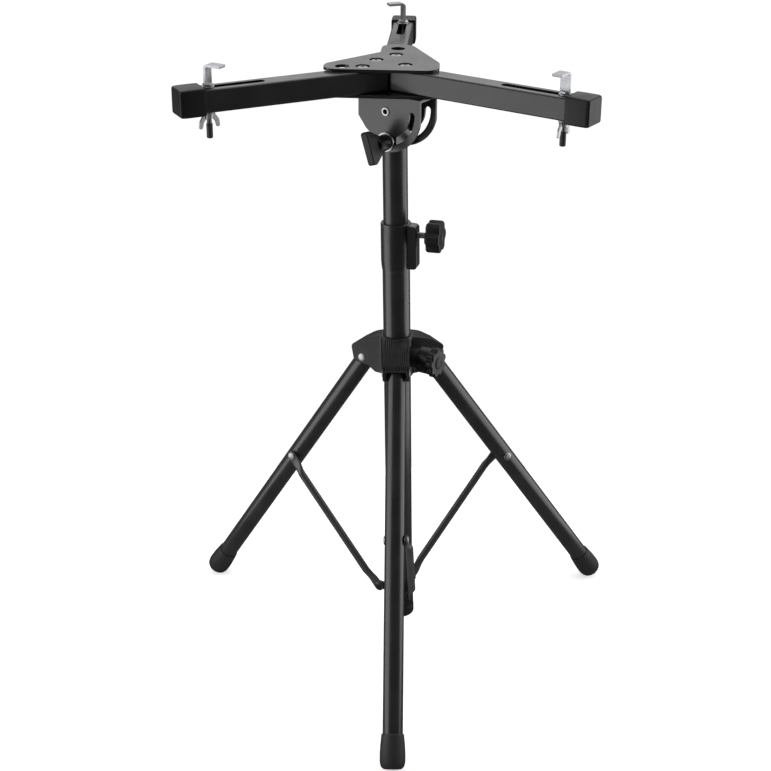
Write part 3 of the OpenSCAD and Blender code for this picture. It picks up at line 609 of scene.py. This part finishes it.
# %% Rivet, bolt, washers and wing knob
lip = [(2.1, 0.2), (2.5, 1.0), (3.3, 1.25), (4.1, 1.0), (4.6, 0.35), (4.55, 0.0)]
profile = [(r, 15.5 + h) for r, h in lip] + [(3.45, 15.5), (3.45, -15.5)] + [(r, -15.5 - h) for r,
    h in reversed(lip)]
ring = put(lathe("rolled_rivet", profile + [profile[0]], 40, True), ON_SIDE)
finish_piece(put(ring, HEAD), "cradle", "zinc", ["pivot_rivet"])
bolt_at = TILT @ move(0, 0, -CLAMP_BOLT_DROP)
bolt = screw("clamp_bolt", -17.4, 31.5, 2.98, 1.0)
head = lathe("hex", [(0.5, 0), (5.4, 0), (5.8, 0.3), (5.8, 3.3), (5.1, 4), (0.5, 4)], 6)
cut(bolt, put(head, move(0, 0, -21.3 * MM)), "UNION")
finish_piece(put(put(bolt, ON_SIDE), bolt_at), "upper_mast", "zinc", ["tilt_bolt"], 30)
near = lathe("near_washer",
             [(3.2, 15.8), (9.2, 15.8), (9.5, 16.0), (9.5, 17.1), (9.2, 17.3), (3.2, 17.3), (3.2, 15.8)], 56,
             True)
finish_piece(put(put(near, ON_SIDE), bolt_at), "upper_mast", "zinc", ["tilt_washers"])
far = lathe("far_washer",
            [(3.2, -17.3), (7.8, -17.3), (8, -17.1), (8, -16.0), (7.8, -15.8), (3.2, -15.8), (3.2, -17.3)],
            48, True)
finish_piece(put(put(far, ON_SIDE), bolt_at), "upper_mast", "zinc", ["tilt_washers"])
grip = sheet_part("wing_grip",
                  rounded([(1, -6.8, 1), (9, -7.6, 5), (25, -16.6, 4), (30, -16, 3), (30, 16, 3),
                           (25, 16.6, 4), (9, 7.6, 5), (1, 6.8, 1)]), -4, 4)
soften(grip, 2.4, 4, 50)
stem = put(lathe("stem", [(3.1, 0), (7.6, 0), (8, 0.6), (8, 9), (7.4, 13), (6.2, 15), (3.1, 15), (3.1, 0)],
                 40, True), turn(90, "Y"))
cut(grip, stem, "UNION")
put(grip, Matrix(((0, 0, 1, 0), (-1, 0, 0, 0), (0, -1, 0, 0), (0, 0, 0, 1))))
finish_piece(put(grip, bolt_at @ move(0, -17.6 * MM, 0) @ turn(-17, "Y")), "tilt_clamp", "plastic",
             ["tilt_knob"], 40)
print("tilt head done, pieces so far", len(made))

# %% [markdown]
# # Cradle
# Two plates of one outline hold the arms and one round spacer between them. The head leans a little towards
# the right arm. The plates' corners are round and their edges are broken by the punch. The upper plate has
# six round holes: four show the heads of the bolts, and two lie over the arms.

# %% Plates and bolts
PLATE = [(-67, -29, 13), (46.5, -29, 14), (46, 3, 16), (15.5, 76, 12), (-14, 76, 12), (-14, 43, 5),
         (-63, -6, 12)]
bolts = [(2, 34.5), (-26.9, -15.5), (13.3, -6.2), (-15.7, 12)]
open_holes = [(2.4, 58.5), (-46.5, -17.2)]


def plate(name, low, holes, radius):
    p = sheet_part(name, rounded(PLATE, 10), low, low + 3)
    for x, y in holes:
        drill = lathe("drill", [(0.5, low - 2), (radius, low - 2), (radius, low + 5), (0.5, low + 5)], 48)
        cut(p, put(drill, move(x * MM, y * MM, 0)))
    soften(p, 0.4, 3, 40)
    return put(p, CRADLE)


finish_piece(plate("upper_plate", 41, bolts + open_holes, 7), "cradle", "paint", ["top_plate"])
finish_piece(plate("lower_plate", 16, bolts, 4.02), "cradle", "paint", ["bottom_plate"])
spacer = lathe("spacer", [(4.05, 19), (6.1, 19), (6.5, 19.4), (6.5, 40.6), (6.1, 41), (4.05, 41), (4.05, 19)],
               48, True)
finish_piece(put(spacer, CRADLE @ move(bolts[3][0] * MM, bolts[3][1] * MM, 0)), "cradle", "paint",
             ["plate_spacer"])
dome = [(0.4, 16), (4, 16), (4, 41), (5.9, 41), (6, 41.3), (5.9, 42.0), (5.4, 42.7), (4.5, 43.2), (3.2, 43.5),
        (2.3, 43.55), (2.2, 42.3), (0.4, 42.2)]
for i, (x, y) in enumerate(bolts):
    finish_piece(put(lathe("domed_bolt_%d" % i, dome, 36), CRADLE @ move(x * MM, y * MM, 0)), "cradle",
                 "zinc", ["plate_bolts"])

# %% [markdown]
# An arm is square tube. Its section is drawn once as an outline with a smaller outline inside it, by cutting
# one extrusion from another, and a long slot with round ends is cut from top to bottom. The cap is a moulding
# that bulges a little, so its rings start narrow, swell and draw in before the rounded end.

# %% Arms and caps
def arm(name, inner, slot_start):
    tube = sheet_part(name, box_outline(22, 22, 2.4), inner, 217.4)
    cut(tube, sheet_part("core", box_outline(19, 19, 1.2), inner - 2, 220))
    put(tube, ALONG_X)
    ends = arc(slot_start + 4.25, 0, 4.25, 90, 270, 16) + arc(187.25, 0, 4.25, -90, 90, 16)
    slot_tool = sheet_part("slot_tool", ends, -20, 20)
    cut(tube, slot_tool)
    soften(tube, 0.3, 2, 50)
    return tube


def cap(name):
    start_clean()
    rows = [(194.5, 25.2, 2.2), (194.8, 25.8, 2.4), (198.5, 26.1, 2.8), (207.5, 26.2, 3.0),
            (215.5, 26.0, 3.0), (218.1, 25.4, 3.2), (219.2, 24.0, 3.0), (219.5, 22.2, 2.4)]
    corners = box_outline(rows[0][1], rows[0][1], rows[0][2])
    bpy.ops.mesh.primitive_circle_add(vertices=len(corners), radius=1, location=(0, 0, 0))
    o = bpy.context.object
    o.name = name
    for v, (x, y) in zip(o.data.vertices, corners):
        v.co = (x * MM, y * MM, rows[0][0] * MM)
    bpy.ops.object.mode_set(mode="EDIT")
    bpy.ops.mesh.select_all(action="SELECT")
    for (za, wa, _), (zb, wb, _) in zip(rows, rows[1:]):
        bpy.ops.mesh.extrude_region_move(TRANSFORM_OT_translate={"value": (0, 0, (zb - za) * MM)})
        bpy.ops.transform.resize(value=(wb / wa, wb / wa, 1), center_override=(0, 0, zb * MM))
    close_up()
    cut(o, sheet_part("core", box_outline(22.05, 22.05, 2.4), 190, 217.4))
    return put(o, ALONG_X)


for side, az in ARMS.items():
    down = arm_frame(az) @ move(0, 0, -11 * MM)
    tube = arm("square_arm_" + side, {"rear": 24, "right": 3, "left": 10}[side],
               {"rear": 134, "right": 122, "left": 132}[side])
    finish_piece(put(tube, down), "cradle", "paint", ["arm_" + side])
    finish_piece(put(cap("arm_cap_" + side), down), "cradle", "plastic", ["end_cap_" + side], 40)
print("cradle done, pieces so far", len(made))

# %% [markdown]
# # Hooks
# A hook is a bent strap on a threaded rod that runs through the arm's slot between two washers. A wing nut
# below pulls it down on the load's rim, and a rubber sleeve covers the rod's sharp end. The strap is cut from
# the side view of the bend, extruded to its width, and its edges are rounded.

# %% Hooks, washers, wing nuts and sleeves
strap_side = [(-1.25, 2.7), (1.25, 2.7), (1.25, 17.5)] + arc(3.25, 17.5, 2, 180, 90, 6) + [(16.75, 19.5)]
strap_side += arc(15.6, 20.75, 1.25, -90, 90, 6)[1:] + arc(3.0, 17.75, 4.25, 90, 180, 8)
wing = rounded([(3, -1, 0.4), (6, -1.5, 1), (10.5, -8, 2), (11.5, -15, 2), (7.5, -15, 2), (6, -9, 1),
                (3, -6, 0.4)], 6)


def hook_parts(nut_turn):
    strap = put(sheet_part("strap", strap_side, -5, 5), ON_SIDE)
    soften(strap, 0.5, 3, 50)
    cut(strap, lathe("collet", [(0.4, 1.5), (4.6, 1.5), (5, 1.9), (5, 3.2), (4.4, 3.7), (0.4, 3.7)], 6),
        "UNION")
    rod = screw("rod", -37, 1.6, 2.45, 0.8, 28)
    washer = lathe("washer", [(2.6, 0), (5.8, 0), (6, 0.15), (6, 1.05), (5.8, 1.2), (2.6, 1.2), (2.6, 0)], 40,
                   True)
    low = put(copy_of(washer, "low"), move(0, 0, -23.23 * MM))
    nut = lathe("nut", [(2.56, -6), (4, -6), (4.5, -3), (5.2, -0.4), (5.0, 0), (2.56, 0), (2.56, -6)], 36,
                True)
    for a in (0, 180):
        blade = put(sheet_part("blade", wing, -1, 1), ON_SIDE)
        soften(blade, 0.45, 2, 50)
        cut(nut, put(blade, turn(a)), "UNION")
    cut(nut, lathe("nut_bore", [(0.4, -16), (2.56, -16), (2.56, 2), (0.4, 2)], 36))
    put(nut, move(0, 0, -23.4 * MM) @ turn(nut_turn))
    tip = lathe("tip",
                [(0.4, -48), (2.2, -48), (2.8, -47.6), (3, -47), (3, -34.3), (2.7, -34), (2.5, -34),
                 (2.5, -36.9), (0.4, -36.9)], 32)
    return strap, rod, washer, low, nut, tip


for side, az, tip_turn, nut_turn in (("rear", 120, -67, 35), ("right", 0, 88, 90), ("left", -120, -55, 11)):
    at = arm_frame(az) @ move(HOOK_AT, 0, 0)
    strap, rod, washer, low, nut, tip = hook_parts(nut_turn)
    for o, word in ((strap, "hook_strap_"), (rod, "hook_rod_"), (washer, "top_washer_"), (low, "low_washer_"),
                    (nut, "wing_nut_body_"), (tip, "rod_tip_")):
        o.name = word + side
    put(strap, turn(180 + tip_turn))
    finish_piece(put(strap, at), "hook_body_" + side, "zinc", ["hook_" + side])
    finish_piece(put(rod, at), "hook_body_" + side, "zinc", ["hook_" + side])
    finish_piece(put(washer, at), "carriage_" + side, "zinc", ["slide_washers_" + side])
    finish_piece(put(low, at), "carriage_" + side, "zinc", ["slide_washers_" + side])
    finish_piece(put(nut, at), "nut_" + side, "zinc", ["wing_nut_" + side])
    finish_piece(put(tip, at), "hook_body_" + side, "rubber", ["rod_sleeve_" + side])
print("hooks done, pieces", len(made))

# %% [markdown]
# # Studio
# The stand is shown on plain white. A small pale floor catches the shadows of the feet, but it looks dark in
# reflections, so the black tubes stay black. Two tall soft boxes at the sides draw the two light bands on
# every tube, with a dark band between them, and two more above and behind light the tops of the plate and
# arms. The sky is dim to the lights but white to the eye.

# %% Floor, lights and sky
start_clean()
bpy.ops.mesh.primitive_plane_add(size=1, location=(0, 0, -0.0002))
floor = bpy.context.object
floor.name = "studio_floor"
for v in floor.data.vertices:
    v.co = (v.co.x * 0.95, v.co.y * 0.8, -0.0002)
floor.location = (0, 0, 0)
white = bpy.data.materials.new("studio white")
white.use_nodes = True
paper = white.node_tree.nodes["Principled BSDF"]
paper.inputs["Base Color"].default_value = (0.9, 0.9, 0.9, 1)
paper.inputs["Roughness"].default_value = 0.9
paper.inputs["Emission Color"].default_value = (1, 1, 1, 1)
paper.inputs["Emission Strength"].default_value = 0.6
shade = white.node_tree.nodes.new("ShaderNodeBsdfDiffuse")
shade.inputs["Color"].default_value = (0.12, 0.12, 0.12, 1)
seen_by = white.node_tree.nodes.new("ShaderNodeLightPath")
blend = white.node_tree.nodes.new("ShaderNodeMixShader")
white.node_tree.links.new(seen_by.outputs["Is Glossy Ray"], blend.inputs["Fac"])
white.node_tree.links.new(paper.outputs["BSDF"], blend.inputs[1])
white.node_tree.links.new(shade.outputs["BSDF"], blend.inputs[2])
white.node_tree.links.new(blend.outputs["Shader"], white.node_tree.nodes["Material Output"].inputs["Surface"])
floor.data.materials.append(white)


def soft_box(name, spot, target, width, height, power):
    data = bpy.data.lights.new(name, "AREA")
    data.shape = "RECTANGLE"
    data.size, data.size_y, data.energy = width, height, power
    o = bpy.data.objects.new(name, data)
    bpy.context.scene.collection.objects.link(o)
    o.location = spot
    o.rotation_mode = "QUATERNION"
    o.rotation_quaternion = (Vector(target) - Vector(spot)).to_track_quat("-Z", "Y")
    return o


soft_box("left_box", (-1.3, -0.45, 0.3), (0, -0.25, 0.3), 1.3, 2.6, 22)
soft_box("right_box", (1.3, 0.25, 0.3), (0, 0.25, 0.3), 1.3, 2.6, 20)
soft_box("top_box", (0, 1.3, 1.6), (0, 0, 0.5), 2.4, 1.6, 13)
soft_box("overhead", (0, 0, 2.4), (0, 0, 0), 1.6, 1.6, 14)

world = bpy.data.worlds.new("studio")
bpy.context.scene.world = world
world.use_nodes = True
nodes, link = world.node_tree.nodes, world.node_tree.links.new
dim = nodes["Background"]
dim.inputs["Color"].default_value = (1, 1, 1, 1)
dim.inputs["Strength"].default_value = 0.11
bright = nodes.new("ShaderNodeBackground")
bright.inputs["Color"].default_value = (1, 1, 1, 1)
bright.inputs["Strength"].default_value = 1.05
eye = nodes.new("ShaderNodeLightPath")
both = nodes.new("ShaderNodeMixShader")
link(eye.outputs["Is Camera Ray"], both.inputs["Fac"])
link(dim.outputs["Background"], both.inputs[1])
link(bright.outputs["Background"], both.inputs[2])
link(both.outputs["Shader"], nodes["World Output"].inputs["Surface"])
bpy.context.scene.view_settings.view_transform = "Standard"

# %% [markdown]
# The camera stands in front of the stand and looks down on it, a little rolled, with a long lens.

# %% Camera
yaw, pitch, roll = (math.radians(a) for a in (-2.46, 24.15, -0.8))
ahead = Vector((math.sin(yaw) * math.cos(pitch), math.cos(yaw) * math.cos(pitch), -math.sin(pitch)))
level = Vector((math.cos(yaw), -math.sin(yaw), 0))
above = level.cross(ahead)
right = level * math.cos(roll) + above * math.sin(roll)
up = above * math.cos(roll) - level * math.sin(roll)
camera = bpy.data.objects.new("camera", bpy.data.cameras.new("camera"))
bpy.context.scene.collection.objects.link(camera)
camera.matrix_world = Matrix((
    (right.x, up.x, -ahead.x, 0.0546),
    (right.y, up.y, -ahead.y, -1.5628),
    (right.z, up.z, -ahead.z, 1.0011),
    (0, 0, 0, 1),
))
camera.data.lens = 76.6
camera.data.clip_start, camera.data.clip_end = 0.05, 20
bpy.context.scene.camera = camera
